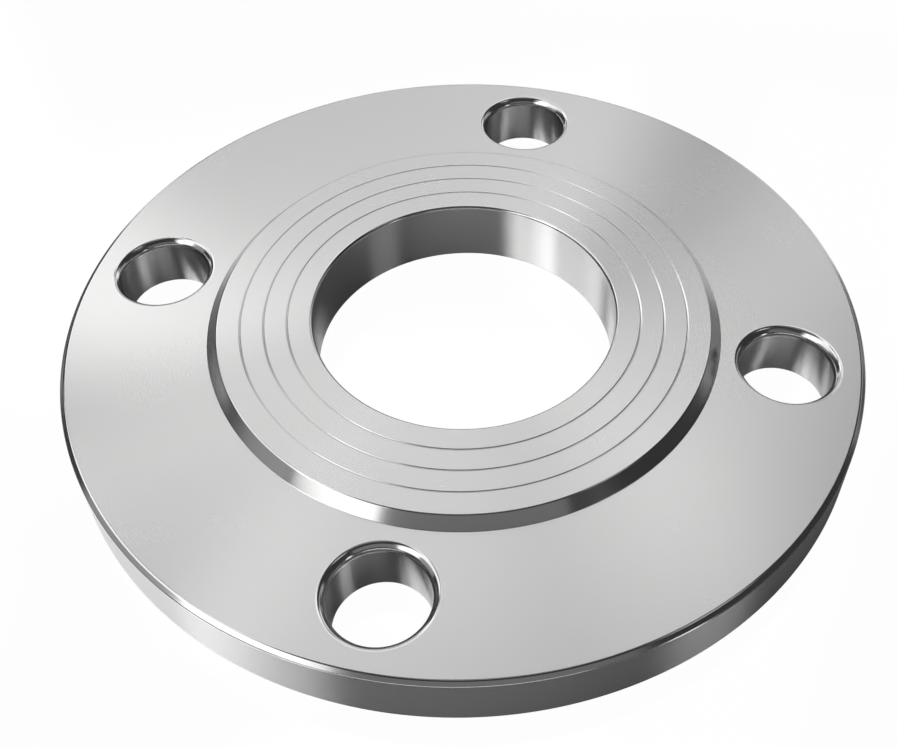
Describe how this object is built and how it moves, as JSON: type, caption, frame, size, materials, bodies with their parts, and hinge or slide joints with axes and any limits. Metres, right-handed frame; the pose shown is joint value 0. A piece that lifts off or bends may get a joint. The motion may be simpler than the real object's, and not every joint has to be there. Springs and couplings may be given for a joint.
{
  "type": "slip on flange",
  "caption": "Flat round slip-on pipe flange with a plain bore, a raised sealing face with concentric lines and a ring of bolt holes.",
  "frame": {"origin": "centre of the bore on the flange's flat back face", "axes": "+Z along the bore's axis, out through the raised sealing face; the bolt holes lie at 45 degrees to X and Y"},
  "size_m": [0.16, 0.16, 0.0143],
  "materials": {
    "turned_steel": "bright satin steel, fine-turned in concentric cuts on its faces, smooth bored in its holes"
  },
  "bodies": {
    "root": {"flange": "turned_steel"}
  },
  "joints": []
}
